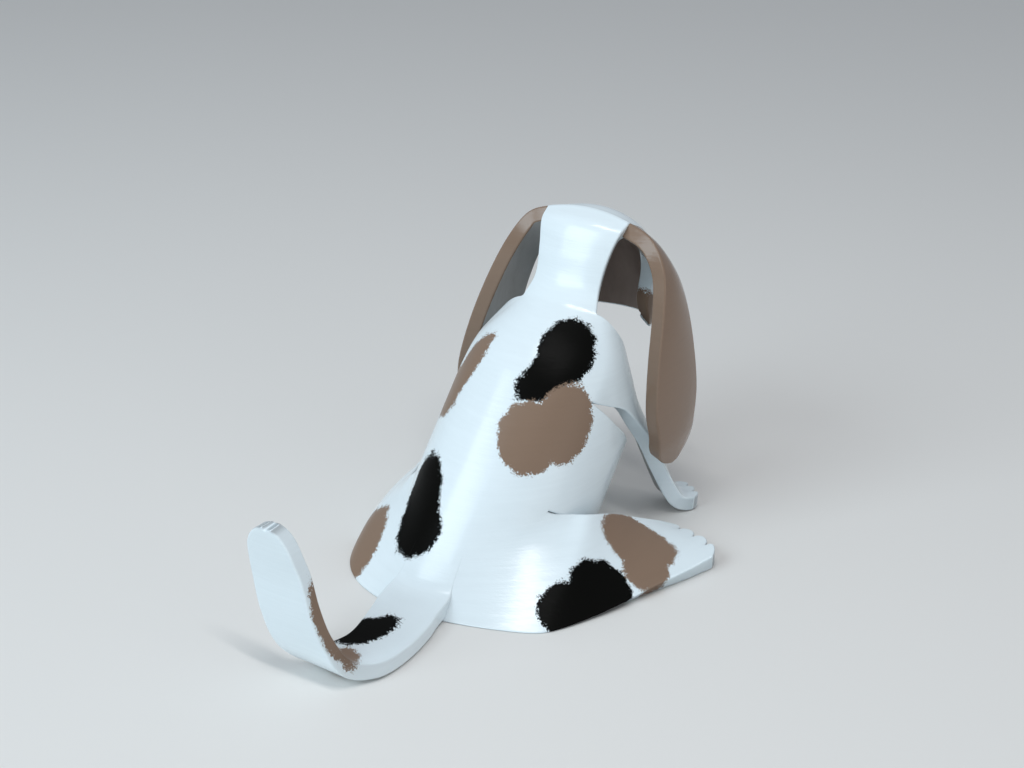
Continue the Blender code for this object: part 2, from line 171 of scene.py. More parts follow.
def round_tip(rows, reach):
    """Draw the last rows in towards their middle, so that the strip ends in a round tip."""
    middles = rows.mean(axis=1)
    steps = np.linalg.norm(np.diff(middles, axis=0), axis=1)
    left = np.concatenate([np.cumsum(steps[::-1])[::-1], [0.0]])
    share = np.sqrt(np.clip(1.0 - (1.0 - np.minimum(left / reach, 1.0)) ** 2, 0.03, 1.0))
    return middles[:, None] + (rows - middles[:, None]) * share[:, None, None]


def haunch_seam(side):
    """Where the opened hind leg leaves the back."""
    return [
        (side * 26.0, 3.0, 0.0),
        (side * 30.5, 31.0, 17.3),
        pipe_point(side * CUT_ANGLE, HIND_CUT),
    ]


def shoulder_seam(side):
    """Where the front leg leaves the back, from the front cut up to the neck."""
    return [
        pipe_point(side * CUT_ANGLE, FRONT_CUT),
        (side * 34.0 + 0.3 * HEAD_SHIFT, 111.0, 91.0),
        (side * 21.0 + HEAD_SHIFT, 123.5, 108.0),
    ]


def ear_seam(side):
    """Where an ear hangs from the head, from the neck forward."""
    return [
        (side * 23.0 + HEAD_SHIFT, 149.0, 146.0),
        (side * 25.0 + HEAD_SHIFT, 159.0, 140.0),
        (side * 26.5 + HEAD_SHIFT, 168.0, 129.0),
    ]


def back_rows():
    """Outer surface along the spine, from the table up to the neck."""
    left, right = haunch_seam(-1), haunch_seam(1)
    stations = [
        (left[0], (0.0, 0.0, 0.0), right[0]),
        (left[1], pipe_point(0, 0.5 * HIND_CUT), right[1]),
        (left[2], pipe_point(0, HIND_CUT), right[2]),
    ]
    for along in (0.5 * (HIND_CUT + FRONT_CUT), FRONT_CUT):
        stations.append(tuple(pipe_point(a, along) for a in (-CUT_ANGLE, 0, CUT_ANGLE)))
    left, right = shoulder_seam(-1), shoulder_seam(1)
    stations.append((left[1], (0.3 * HEAD_SHIFT, 99.5, 101.0), right[1]))
    stations.append((left[2], (HEAD_SHIFT, 118.5, 111.5), right[2]))
    angles = np.linspace(-CUT_ANGLE, CUT_ANGLE, SPINE_ACROSS + 1)
    middle = [
        [pipe_point(angle, along) for angle in angles]
        for along in np.linspace(HIND_CUT, FRONT_CUT, CUT_ROWS)[1:-1]
    ]
    return np.vstack([
        arc_rows(stations, HAUNCH_ROWS, SPINE_ACROSS, first=0, last=2),
        middle,
        arc_rows(stations, SHOULDER_ROWS, SPINE_ACROSS, first=4),
    ])


def neck_rows():
    """Outer surface of the narrow strip from the shoulders up to the crown."""
    shift = HEAD_SHIFT
    low_left, low_right = shoulder_seam(-1)[2], shoulder_seam(1)[2]
    top_left, top_right = ear_seam(-1)[0], ear_seam(1)[0]
    stations = [
        (low_left, (shift, 118.5, 111.5), low_right),
        ((shift - 18.0, 130.0, 118.0), (shift, 126.0, 119.0), (shift + 18.5, 130.0, 118.0)),
        ((shift - 19.3, 135.5, 131.0), (shift, 131.5, 132.0), (shift + 19.6, 135.5, 131.0)),
        ((shift - 22.0, 141.5, 141.5), (shift, 138.0, 144.5), (shift + 22.0, 141.5, 141.5)),
        (top_left, (shift, 149.0, 149.5), top_right),
    ]
    return arc_rows(stations, NECK_ROWS, SPINE_ACROSS)


def face_rows():
    """Outer surface of the forehead, muzzle and cheeks: a channel open to the back."""
    shift = HEAD_SHIFT
    left, right = ear_seam(-1), ear_seam(1)
    stations = [
        (left[0], (shift, 149.0, 149.5), right[0]),
        (left[1], (shift, 162.0, 146.5), right[1]),
        (left[2], (shift, 177.0, 137.0), right[2]),
        ((shift - 28.0, 167.0, 117.0), (shift, 190.0, 121.0), (shift + 28.0, 167.0, 117.0)),
        ((shift - 28.0, 160.0, 104.0), (shift, 196.0, 104.0), (shift + 28.0, 160.0, 104.0)),
        ((shift - 27.0, 164.0, 92.0), (shift, 199.0, 92.0), (shift + 27.0, 164.0, 92.0)),
        ((shift - 23.0, 172.0, 84.0), (shift, 198.0, 82.0), (shift + 23.0, 172.0, 84.0)),
    ]
    return arc_rows(stations, 3 * EAR_ROWS, SPINE_ACROSS)


def ear_stations(side):
    """Rails of a long leaf that hangs from the side of the head, over the shoulder."""
    back_edge = [
        (35.0, 149.5, 140.0), (44.5, 145.5, 126.0), (50.0, 136.0, 108.0), (54.0, 126.0, 87.0),
        (57.0, 120.0, 66.0), (58.5, 121.5, 50.0), (57.0, 122.5, 39.0), (56.0, 124.5, 32.5),
    ]
    front_edge = [
        (34.0, 167.0, 125.0), (41.5, 167.0, 116.0), (48.0, 165.5, 102.0), (53.0, 163.5, 85.0),
        (57.0, 160.5, 66.0), (58.0, 157.0, 50.0), (56.5, 157.0, 39.0), (55.5, 155.0, 32.5),
    ]
    stations = []
    for back, front in zip(back_edge, front_edge):
        crest = 0.5 * (np.array(back) + np.array(front)) + (EAR_BULGE, 0.0, 0.0)
        stations.append(tuple(
            (side * right + HEAD_SHIFT, forward, up) for right, forward, up in (back, crest, front)
        ))
    return stations


def front_leg_stations(side):
    """Rails from the shoulder down to a small forward foot."""
    stations = [
        ((41.0, 107.5, 70.0), (40.0, 119.0, 85.0), (33.5, 129.5, 97.0)),
        ((44.5, 118.0, 64.5), (41.5, 127.5, 75.5), (33.5, 137.0, 82.0)),
        ((47.5, 127.0, 54.0), (42.0, 135.5, 60.0), (33.5, 142.0, 63.0)),
        ((50.5, 134.0, 44.0), (44.0, 142.0, 47.0), (35.5, 148.0, 49.0)),
        ((55.0, 140.0, 28.0), (48.5, 147.5, 30.0), (39.5, 154.0, 31.0)),
        ((60.0, 146.0, 13.0), (53.0, 152.5, 14.0), (44.5, 159.0, 14.0)),
        ((63.0, 150.5, 8.3), (56.0, 156.5, 8.8), (48.0, 162.0, 8.3)),
        ((66.5, 157.0, 7.6), (60.0, 163.0, 7.9), (52.0, 166.5, 7.6)),
    ]
    if side < 0:
        stations = mirror(stations, LEFT_LEG_INSET)
    return stations


# Rails of the opened hind legs: low edge, middle and top edge
RIGHT_HIND_LEG = [
    ((46.0, 10.0, 0.0), (46.5, 37.5, 14.0), (44.0, 70.0, 31.3)),
    ((62.0, 19.5, 0.5), (58.5, 47.5, 14.5), (51.0, 77.0, 30.0)),
    ((75.5, 44.0, 2.0), (66.5, 67.5, 14.0), (55.0, 91.0, 25.0)),
    ((86.0, 71.0, 4.5), (73.5, 88.0, 12.0), (59.5, 105.0, 18.0)),
    ((96.0, 98.0, 6.5), (81.0, 108.5, 9.6), (64.0, 118.0, 11.5)),
    ((99.5, 116.0, 7.6), (83.5, 122.5, 8.0), (66.0, 125.5, 7.6)),
]
LEFT_HIND_LEG = [
    ((-38.0, 8.0, 0.0), (-43.0, 34.5, 14.5), (-42.5, 63.0, 30.0)),
    ((-51.0, 24.0, 0.5), (-53.0, 49.0, 14.5), (-49.0, 74.0, 25.0)),
    ((-60.5, 49.0, 2.0), (-60.0, 70.5, 14.0), (-54.5, 90.0, 22.0)),
    ((-69.0, 77.0, 4.5), (-64.0, 93.0, 11.5), (-56.0, 107.0, 15.0)),
    ((-72.0, 104.0, 6.5), (-65.0, 115.0, 8.7), (-54.5, 121.0, 9.2)),
    ((-74.0, 118.0, 7.6), (-66.0, 126.0, 8.0), (-54.0, 128.0, 7.6)),
]


def belly_rows(radius):
    """One surface of the pipe round the flanks and the belly, between the two leg cuts."""
    angles = np.linspace(CUT_ANGLE, 360.0 - CUT_ANGLE, BELLY_AROUND + 1)
    away = np.minimum(angles - CUT_ANGLE, 360.0 - CUT_ANGLE - angles) / CUT_OPENING
    kerf = CUT_WIDTH * np.clip(0.12 + away, 0.0, 1.0)
    starts = [max(HIND_CUT + k, table_cut(a, radius)) for a, k in zip(angles, kerf)]
    rows = [
        [
            pipe_point(a, start + share * (FRONT_CUT - k - start), radius)
            for a, start, k in zip(angles, starts, kerf)
        ]
        for share in np.linspace(0.0, 1.0, BELLY_ROWS + 1)
    ]
    return np.array(rows)


def back_at(back, right, up):
    """How far forward the back's outer surface lies at this place and height."""
    forward, height = [], []
    for row in back[:HAUNCH_ROWS]:
        forward.append(np.interp(right, row[:, 0], row[:, 1]))
        height.append(np.interp(right, row[:, 0], row[:, 2]))
    return np.interp(up, height, forward)


# Where the tail's surface leaves the back: height, then (right, how far it stands off the back)
TAIL_ON_BACK = [
    (38.0, ((14.5, -1.2), (2.0, -1.2), (-10.5, -1.2))),
    (27.0, ((15.0, -0.15), (2.0, -0.15), (-11.0, -0.15))),
    (17.0, ((15.5, 0.25), (2.5, 0.25), (-12.0, 0.25))),
    (10.5, ((16.5, 0.5), (3.0, 1.2), (-13.0, 0.3))),
    (8.6, ((17.8, 3.5), (4.0, 5.0), (-13.5, 3.0))),
]


def tail_rows(back):
    """Outer surface of the strip that flows out of the spine's foot and curls up."""
    stations = [
        tuple((right, back_at(back, right, up) - out, up) for right, out in row)
        for up, row in TAIL_ON_BACK
    ]
    stations += [
        ((20.0, -4.5, 7.8), (4.5, -6.0, 8.2), (-12.0, -4.5, 7.8)),
        ((22.5, -15.0, 7.6), (7.0, -15.5, 8.0), (-9.0, -15.0, 7.6)),
        ((24.0, -32.0, 7.6), (9.5, -33.0, 7.8), (-4.5, -33.0, 7.6)),
        ((22.0, -48.0, 8.2), (8.5, -46.5, 8.0), (-5.0, -43.5, 8.0)),
        ((14.5, -57.5, 11.0), (2.0, -55.5, 9.8), (-9.5, -53.0, 8.6)),
        ((5.5, -59.0, 20.0), (-9.0, -59.0, 17.0), (-21.0, -58.5, 14.0)),
        ((0.0, -59.5, 33.0), (-14.5, -60.0, 30.5), (-27.0, -60.0, 27.5)),
        ((-4.5, -59.0, 48.0), (-18.0, -59.5, 46.5), (-31.0, -59.0, 45.0)),
        ((-8.5, -59.8, 59.0), (-20.3, -60.2, 59.5), (-32.0, -59.8, 58.5)),
        ((-9.0, -60.5, 68.5), (-20.5, -61.0, 69.5), (-32.0, -60.5, 68.5)),
    ]
    return round_tip(arc_rows(stations, TAIL_ALONG, TAIL_ACROSS), TAIL_TIP)


# Camera, as (right, forward, up)
CAMERA_PLACE = (410.3, -542.4, 433.1)
CAMERA_AIM = (64.4, -11.9, 135.0)
CAMERA_LENS = 62.05

# Numbers of the shells and the paint, in millimetres unless a note says otherwise
SEAM_FADE = 0.2              # share of a limb over which it takes its own shape
TAIL_ROOT = 0.5              # the tail starts at this share of its thickness, in the wall
TAIL_FILL = 0.5              # share of its length over which the rest of it comes
EASE_BACK = 18               # columns of the back that are smoothed into a hind leg
EASE_LIMB = 24               # rows of the hind leg that are smoothed into the back
EASE_ROUNDS = 260            # rounds of that smoothing
EASE_FADE = 10.0             # rows below the cut over which it fades out
TAIL_TIP = 12.0              # length of the tail's round tip
EAR_TIP = 15.0               # length of an ear's round tip
HIND_FOOT_ROUND = 5.5        # how far the corners of a hind foot are drawn in
FRONT_FOOT_ROUND = 1.5       # and of a front foot
TOE_GROOVE = 1.2             # how deep the notches press into the top of a foot
RIM_PAINT = 0.45             # how far the sawn edge counts as outside
PATCH_DEPTH = 16.0           # a patch reaches this far in front of and behind its middle
PATCH_MERGE = 3.0            # ovals of one patch run together over this distance
PATCH_SOFT = 0.12            # half the width over which a patch's paint thins out
BRUSH_RELIEF = 0.07          # height of the brush ridges

# Nose and eyes: width, depth and height, and where they sit on the face's grid
NOSE_SIZE = (19.0, 10.0, 12.0)
EYE_SIZE = (8.0, 3.4, 10.0)
NOSE_ROW = 50
EYE_ROW = 33
EYE_STEP = 12                # columns from the middle of the face to an eye
NOSE_TAPER = 0.5             # how much narrower the nose is at its foot
NOSTRIL_DEPTH = 1.6
NOSTRIL_PLACE = 0.42         # share of the half width from the middle to a nostril
NOSTRIL_SIZE = 0.2           # radius, as a share of the half width
PAD_RINGS = 24
PAD_SPOKES = 64
PAD_LIFT = 0.3               # clearance between a pad and the face

# Finishes: roughness and gloss as shares of one, colours as linear RGBA
PAINT_ROUGHNESS = 0.19
PAINT_GLOSS = 0.5
RAW_ROUGHNESS = 0.55
WHITE_PAINT = (0.80, 0.89, 0.93, 1.0)
BROWN_PAINT = (0.245, 0.165, 0.115, 1.0)
BLACK_PAINT = (0.004, 0.004, 0.0035, 1.0)
RAW_LIGHT = (0.46, 0.47, 0.47, 1.0)
RAW_DARK = (0.27, 0.27, 0.26, 1.0)
# Inside of the face: the raw pipe's colours darkened and warmed, as painted shade inside the head
# and a painted warm reflection
SHADED_MUZZLE_PALER = (0.29, 0.22, 0.185, 1.0)
SHADED_MUZZLE_DARKER = (0.17, 0.125, 0.105, 1.0)

# Painted patches: ovals as (middle, half of the long way, half of the wide way)
BLACK_PATCHES = [
    [((21, 101, 96), (-1, 15, 10), (11, 5, -6)), ((19, 89, 88), (-9, -13, -9), (6, 1, -7))],
    [((-18, 37, 33), (-7, 22, 14), (12, 2, 4)), ((-13, 27, 26), (5, -9, -9), (13, 2, 3))],
    [
        ((72, 51, 10), (-6, 13, 9), (9, 12, -6)), ((68, 41, 10), (-5, -14, 0), (8, 11, -7)),
        ((66, 33, 8), (-4, -14, -4), (8, 11, -8)),
    ],
    [((1, -32, 8), (7, 15, 0), (8, -4, 0))],
]
BROWN_PATCHES = [
    [((32, 83, 69), (-2, 12, 15), (8, 9, -6)), ((21, 68, 65), (-13, -6, -1), (7, -8, -14))],
    [((69, 89, 15), (-16, -7, 9), (-5, 14, 0)), ((79, 79, 10), (6, -11, -5), (6, 9, -4))],
    [((-27, 88, 82), (8, 12, 14), (-7, 4, -6)), ((-35, 83, 70), (-5, 2, -10), (7, 6, -3))],
    [((29, 162, 96), (2, -6, 10), (5, 8, 2))],
    [((-47, 26, 8), (-4, 21, 12), (9.5, 4, -4))],
    [((4, -58, 26), (-8, -1, 19), (1, 7.6, 1)), ((7, -53, 11), (6, -2, -2), (1, 6, 0))],
]


def limb_rows(parent, first, last, side, stations, along):
    """Outer surface of a strip that leaves the parent's side border without a crease."""
    column, inside = (-1, -3) if side > 0 else (0, 2)
    named = (first, (first + last) // 2, last)
    start = tuple(parent[k, column] for k in named)
    lead = []
    for k, begun, next_point in zip(named, start, stations[0]):
        reach = np.linalg.norm(np.array(next_point) - begun)
        lead.append(np.array(next_point) - 2.0 * reach * unit(begun - parent[k, inside]))
    lead = tuple(lead)
    rows = arc_rows([lead, start] + stations, along, last - first, first=1)
    border = parent[first:last + 1, column]
    fade = np.clip(1.0 - np.arange(len(rows)) / (SEAM_FADE * along), 0.0, 1.0)
    fade = fade * fade * (3.0 - 2.0 * fade)
    return rows + fade[:, None, None] * (border - rows[0])


def ease_seam(back, limb, side):
    """Smooth the skin across the seam between the back and an opened hind leg, in place."""
    columns = slice(-EASE_BACK, None) if side > 0 else slice(EASE_BACK - 1, None, -1)
    line = np.concatenate(
        [back[:HAUNCH_ROWS, columns], np.swapaxes(limb[1:EASE_LIMB, :HAUNCH_ROWS], 0, 1)], axis=1
    )
    rate = 0.25 * np.sin(np.pi * np.linspace(0.0, 1.0, line.shape[1])[1:-1, None]) ** 2
    eased = line.copy()
    for _ in range(EASE_ROUNDS):
        eased[:, 1:-1] += rate * (eased[:, :-2] - 2.0 * eased[:, 1:-1] + eased[:, 2:])
    share = np.clip((HAUNCH_ROWS - np.arange(HAUNCH_ROWS)) / EASE_FADE, 0.0, 1.0)[:, None, None]
    line += share * (eased - line)
    back[:HAUNCH_ROWS, columns] = line[:, :EASE_BACK]
    limb[1:EASE_LIMB, :HAUNCH_ROWS] = np.swapaxes(line[:, EASE_BACK:], 0, 1)
    limb[0, :HAUNCH_ROWS] = line[:, EASE_BACK - 1]


def join_normals(parent_normals, first, last, side, limb_normals):
    """Give both sides of a seam the same normals, so that no line shows."""
    column = -1 if side > 0 else 0
    shared = unit(parent_normals[first:last + 1, column] + limb_normals[0])
    parent_normals[first:last + 1, column] = shared
    limb_normals[0] = shared


def respace(lines, first, last, count):
    """Even spacing along each line, starting and ending this far from its ends."""
    even = []
    for line in lines:
        steps = np.linalg.norm(np.diff(line[:, :3], axis=0), axis=1)
        places = np.concatenate([[0.0], np.cumsum(steps)])
        length = places[-1]
        wanted = np.linspace(min(first, 0.3 * length), max(length - last, 0.7 * length), count)
        even.append(np.stack([np.interp(wanted, places, value) for value in line.T], axis=1))
    return np.array(even)


def scallop(points, normals, count, rounding):
    """Press toes into the last rows of a foot: notches that fade out up the foot."""
    points = points.copy()
    inward = unit(points[-6] - points[-1])
    across = np.linspace(0.0, count, points.shape[1])
    notch = 1.0 - np.abs(np.sin(np.pi * across)) ** 0.38
    notch[: len(notch) // (2 * count)] *= 0.4
    notch[-(len(notch) // (2 * count)):] *= 0.4
    reach = np.linalg.norm(points - points[-1], axis=2)
    felt = np.clip(1.0 - reach / TOE_REACH, 0.0, 1.0)
    corner = np.clip(np.abs(np.linspace(-1.0, 1.0, points.shape[1])) - 0.5, 0.0, 0.5) / 0.5
    points += (felt * notch)[..., None] * inward * TOE_DEPTH
    points += (felt * corner ** 2)[..., None] * inward * rounding
    points -= (felt ** 2 * notch)[..., None] * normals * TOE_GROOVE
    return points


def add_rim(layers, axis, at_end):
    """Carry both surfaces round the sawn edge at one border."""
    def turn(values):
        """Put the border last along the second axis."""
        values = np.swapaxes(values, 0, 1) if axis == 0 else values
        return values if at_end else values[:, ::-1]

    def turn_back(values):
        """Undo turn()."""
        values = values if at_end else values[:, ::-1]
        return np.swapaxes(values, 0, 1) if axis == 0 else values

    top, bottom, normal, top_shade, bottom_shade, depth = (turn(value) for value in layers)
    facing = normal[:, -1]
    out = top[:, -1] - top[:, -2]
    out = unit(out - facing * np.sum(out * facing, axis=1, keepdims=True))
    grown = [[value] for value in (top, bottom, normal, top_shade, bottom_shade, depth)]
    for step in range(1, RIM_STEPS + 1):
        angle = 0.5 * math.pi * step / RIM_STEPS
        reach, drop = EDGE * math.sin(angle), EDGE * (1.0 - math.cos(angle))
        for store, value in zip(grown, (
            top[:, -1] + reach * out - drop * facing,
            bottom[:, -1] + reach * out + drop * facing,
            facing,
            unit(math.cos(angle) * top_shade[:, -1] + math.sin(angle) * out),
            unit(math.cos(angle) * bottom_shade[:, -1] + math.sin(angle) * out),
            depth[:, -1] - RIM_PAINT * math.sin(angle),
        )):
            store.append(value[:, None])
    return tuple(turn_back(np.concatenate(store, axis=1)) for store in grown)


def shell(name, points, normals, free, finish, bottom=None, raw=True):
    """Closed shell of wall thickness with rounded sawn edges, in place of a CAD node.

    free lists the borders that are sawn edges: any of start, end, left and right.
    """
    if bottom is None:
        bottom = points - WALL * normals
    grid = np.concatenate([points, normals, bottom], axis=2)
    count_along, count_across = grid.shape[:2]
    sides = [EDGE if border in free else 0.0 for border in ("left", "right", "start", "end")]
    grid = respace(grid, sides[0], sides[1], count_across)
    grid = np.swapaxes(respace(np.swapaxes(grid, 0, 1), sides[2], sides[3], count_along), 0, 1)
    top, normal, bottom = grid[..., :3], unit(grid[..., 3:6]), grid[..., 6:]
    layers = (top, bottom, normal, normal, -normal, np.ones(top.shape[:2] + (1,)))
    for border, axis, at_end in (
        ("left", 1, False), ("right", 1, True), ("start", 0, False), ("end", 0, True)
    ):
        if border in free:
            layers = add_rim(layers, axis, at_end)
    top, bottom, normal, top_shade, bottom_shade, depth = layers
    rows, columns = top.shape[:2]
    top[..., 2] = np.maximum(top[..., 2], 0.0)
    bottom[..., 2] = np.maximum(bottom[..., 2], 0.0)

    corners = np.concatenate([place(top).reshape(-1, 3), place(bottom).reshape(-1, 3)])
    index = np.arange(rows * columns).reshape(rows, columns)
    under = index + rows * columns
    faces = []
    for i in range(rows - 1):
        for j in range(columns - 1):
            quad = (index[i, j], index[i, j + 1], index[i + 1, j + 1], index[i + 1, j])
            faces.append(quad)
            faces.append(tuple(value + rows * columns for value in reversed(quad)))
    for line, below in (
        (index[0], under[0]), (index[-1][::-1], under[-1][::-1]),
        (index[:, 0][::-1], under[:, 0][::-1]), (index[:, -1], under[:, -1]),
    ):
        for k in range(len(line) - 1):
            faces.append((line[k + 1], line[k], below[k], below[k + 1]))
    flip = np.array((-1.0, -1.0, 1.0))
    shade = np.concatenate([top_shade.reshape(-1, 3), bottom_shade.reshape(-1, 3)]) * flip
    a, b, _, d = corners[list(faces[2 * (rows // 2 * (columns - 1) + columns // 2)])]
    if np.cross(b - a, d - a) @ (normal[rows // 2, columns // 2] * flip) < 0.0:
        faces = [tuple(reversed(face)) for face in faces]
    mesh = bpy.data.meshes.new(name)
    mesh.from_pydata(corners.tolist(), [], [tuple(int(v) for v in face) for face in faces])
    inside = np.concatenate([np.zeros(rows * columns), depth.reshape(-1) * float(raw)])
    mesh.attributes.new("inside", "FLOAT", "POINT").data.foreach_set("value", inside)
    mesh.shade_smooth()
    mesh.normals_split_custom_set_from_vertices(shade.tolist())
    mesh.materials.append(finish)
    piece = bpy.data.objects.new("painted_" + name, mesh)
    bpy.context.scene.collection.objects.link(piece)
    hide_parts(name)
    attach(piece, "root")
    return piece


def pad(name, foot, facing, size, taper, nostrils, finish):
    """Rounded solid pad that sits on the face, in place of a CAD node."""
    width, depth, height = size
    polar = np.linspace(0.0, 0.5 * math.pi, PAD_RINGS + 1)[1:]
    around = np.linspace(0.0, 2.0 * math.pi, PAD_SPOKES, endpoint=False)
    across = np.outer(np.sin(polar), np.cos(around)).ravel()
    upward = np.outer(np.sin(polar), np.sin(around)).ravel()
    ahead = np.outer(np.cos(polar), np.ones(PAD_SPOKES)).ravel() ** 0.8
    for place_across in (-NOSTRIL_PLACE, NOSTRIL_PLACE):
        away = np.hypot(across - place_across, 0.8 * upward) / NOSTRIL_SIZE
        ahead = ahead - nostrils / depth * np.exp(-away ** 2)
    local = np.stack([
        0.5 * width * across * (1.0 + 0.5 * taper * upward), -depth * ahead, 0.5 * height * upward,
    ], axis=1)
    local = np.vstack([(0.0, -depth, 0.0), local, (0.0, 0.0, 0.0)])
    last = len(local) - 1
    faces = []
    for k in range(PAD_SPOKES):
        after = (k + 1) % PAD_SPOKES
        faces.append((0, 1 + k, 1 + after))
        for ring in range(PAD_RINGS - 1):
            here, below = 1 + ring * PAD_SPOKES, 1 + (ring + 1) * PAD_SPOKES
            faces.append((here + k, below + k, below + after, here + after))
        rim = 1 + (PAD_RINGS - 1) * PAD_SPOKES
        faces.append((last, rim + after, rim + k))
    outward = Vector((-facing[0], -facing[1], facing[2]))
    turn = outward.to_track_quat("-Y", "Z").to_matrix()
    base = Vector(place(foot + PAD_LIFT * facing))
    corners = [turn @ Vector(point) * MM + base for point in local]
    mesh = bpy.data.meshes.new(name)
    mesh.from_pydata(corners, [], faces)
    mesh.shade_smooth()
    mesh.set_sharp_from_angle(angle=math.radians(60.0))
    mesh.materials.append(finish)
    piece = bpy.data.objects.new("painted_" + name, mesh)
    bpy.context.scene.collection.objects.link(piece)
    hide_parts(name)
    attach(piece, "root")


def add(tree, kind, inputs=None, **settings):
    """Add a shader node; inputs may be numbers, colours or other nodes' sockets."""
    made = tree.nodes.new("ShaderNode" + kind)
    for key, value in settings.items():
        setattr(made, key, value)
    for key, value in (inputs or {}).items():
        if isinstance(value, bpy.types.NodeSocket):
            tree.links.new(value, made.inputs[key])
        else:
            made.inputs[key].default_value = value
    return made


def calc(tree, operation, *values):
    """Math node."""
    return add(tree, "Math", dict(enumerate(values)), operation=operation).outputs[0]


def noise(tree, where, scale, detail=3.0, roughness=0.6, stretch=(1.0, 1.0, 1.0)):
    """Noise around zero; scale is in features per metre."""
    moved = add(tree, "Mapping", {"Vector": where, "Scale": tuple(scale * s for s in stretch)})
    made = add(tree, "TexNoise", {
        "Vector": moved.outputs[0], "Scale": 1.0, "Detail": detail, "Roughness": roughness,
    })
    return calc(tree, "SUBTRACT", made.outputs["Fac"], 0.5)


def blend(tree, share, first, second):
    """Colour mix."""
    return add(
        tree, "Mix", {0: share, 6: first, 7: second}, data_type="RGBA"
    ).outputs[2]


def blend_value(tree, share, first, second):
    """Number mix."""
    return add(tree, "Mix", {0: share, 2: first, 3: second}, data_type="FLOAT").outputs[0]


def patch_mask(tree, where, blobs, ragged):
    """One inside a painted patch: ovals run together, with a dry-brush edge."""
    nearest = None
    for centre, half_long, half_wide in blobs:
        long_way = np.array((-half_long[0], -half_long[1], half_long[2]))
        wide_way = np.array((-half_wide[0], -half_wide[1], half_wide[2]))
        half = np.linalg.norm(long_way)
        long_way = long_way / half
        wide_way = wide_way - long_way * (wide_way @ long_way)
        width = np.linalg.norm(wide_way)
        wide_way = wide_way / width
        turned = Matrix((long_way, wide_way, np.cross(long_way, wide_way))).transposed()
        oval = add(tree, "Mapping", {
            "Vector": where,
            "Location": tuple(place(centre)),
            "Rotation": tuple(turned.to_euler()),
            "Scale": (half * MM, width * MM, PATCH_DEPTH * MM),
        }, vector_type="TEXTURE")
        far = add(tree, "VectorMath", {0: oval.outputs[0]}, operation="LENGTH").outputs["Value"]
        far = calc(tree, "MULTIPLY", calc(tree, "SUBTRACT", far, 1.0), float(min(half, width)))
        nearest = far if nearest is None else calc(tree, "SMOOTH_MIN", nearest, far, PATCH_MERGE)
    edge = calc(tree, "ADD", nearest, ragged)
    return add(tree, "MapRange", {
        "Value": edge,
        "From Min": PATCH_SOFT, "From Max": -PATCH_SOFT, "To Min": 0.0, "To Max": 1.0,
    }).outputs[0]


def painted(name, base, black=(), brown=(), plain=(RAW_DARK, RAW_LIGHT)):
    """Brushed gloss paint with ragged patches, and the raw pipe on the inside."""
    made = bpy.data.materials.new(name)
    made.use_nodes = True
    tree = made.node_tree
    shader = tree.nodes["Principled BSDF"]
    where = add(tree, "TexCoord").outputs["Object"]
    inside = add(tree, "Attribute", attribute_name="inside").outputs["Fac"]

    # Unevenness of the brush work, in millimetres
    waver = calc(tree, "MULTIPLY", noise(tree, where, 190.0, 2.0), 4.5)
    teeth = calc(tree, "MULTIPLY", noise(tree, where, 1100.0, 2.0, 0.6), 4.6)
    specks = calc(tree, "MULTIPLY", noise(tree, where, 2400.0, 2.0, 0.6), 4.6)
    ragged = calc(tree, "ADD", waver, calc(tree, "ADD", teeth, specks))
    streaks = noise(tree, where, 90.0, 4.0, 0.65, stretch=(0.35, 0.35, 7.0))
    ridges = noise(tree, where, 150.0, 2.0, 0.5, stretch=(0.5, 4.0, 7.0))
    grain = noise(tree, where, 1500.0, 2.0, 0.5)
    cloudy = noise(tree, where, 28.0, 3.0, 0.5)

    tone = calc(
        tree, "ADD", calc(tree, "MULTIPLY", streaks, 0.07), calc(tree, "MULTIPLY", cloudy, 0.08)
    )
    colour = base
    rough = PAINT_ROUGHNESS
    gloss = PAINT_GLOSS
    film = 0.0
    for patches, paint, dullness, shine in (
        (black, BLACK_PAINT, 0.3, 0.03), (brown, BROWN_PAINT, 0.34, 0.3)
    ):
        for blobs in patches:
            mask = patch_mask(tree, where, blobs, ragged)
            colour = blend(tree, mask, colour, paint)
            rough = blend_value(tree, mask, rough, dullness)
            gloss = blend_value(tree, mask, gloss, shine)
            film = calc(tree, "MAXIMUM", film, mask)
    lifted = add(tree, "HueSaturation", {
        "Value": calc(tree, "ADD", 1.0, tone), "Color": colour,
    }).outputs[0]

    # Raw plastic past the inner corner of the sawn edge
    raw_edge = calc(tree, "ADD", inside, calc(tree, "MULTIPLY", noise(tree, where, 260.0), 0.35))
    raw = add(tree, "MapRange", {
        "Value": raw_edge, "From Min": 0.86, "From Max": 0.9, "To Min": 0.0, "To Max": 1.0,
    }).outputs[0]
    scuffs = noise(tree, where, 60.0, 5.0, 0.7, stretch=(1.0, 1.0, 0.3))
    # On the face these two plain colours are painted shade and a painted warm reflection, not the
    # pipe's own tone
    plastic = blend(
        tree, calc(tree, "ADD", 0.5, calc(tree, "MULTIPLY", scuffs, 1.6)), plain[0], plain[1]
    )
    tree.links.new(blend(tree, raw, lifted, plastic), shader.inputs["Base Color"])
    uneven = calc(tree, "ADD", rough, calc(tree, "MULTIPLY", streaks, 0.12))
    tree.links.new(blend_value(tree, raw, uneven, RAW_ROUGHNESS), shader.inputs["Roughness"])

    height = calc(tree, "ADD", streaks, calc(tree, "MULTIPLY", grain, 0.25))
    height = calc(tree, "ADD", height, calc(tree, "MULTIPLY", ridges, 0.45))
    height = calc(tree, "ADD", height, calc(tree, "MULTIPLY", film, 0.5))
    bump = add(tree, "Bump", {"Strength": 1.0, "Distance": BRUSH_RELIEF * MM, "Height": height})
    tree.links.new(bump.outputs[0], shader.inputs["Normal"])
    if isinstance(gloss, bpy.types.NodeSocket):
        tree.links.new(gloss, shader.inputs["Specular IOR Level"])
    return made


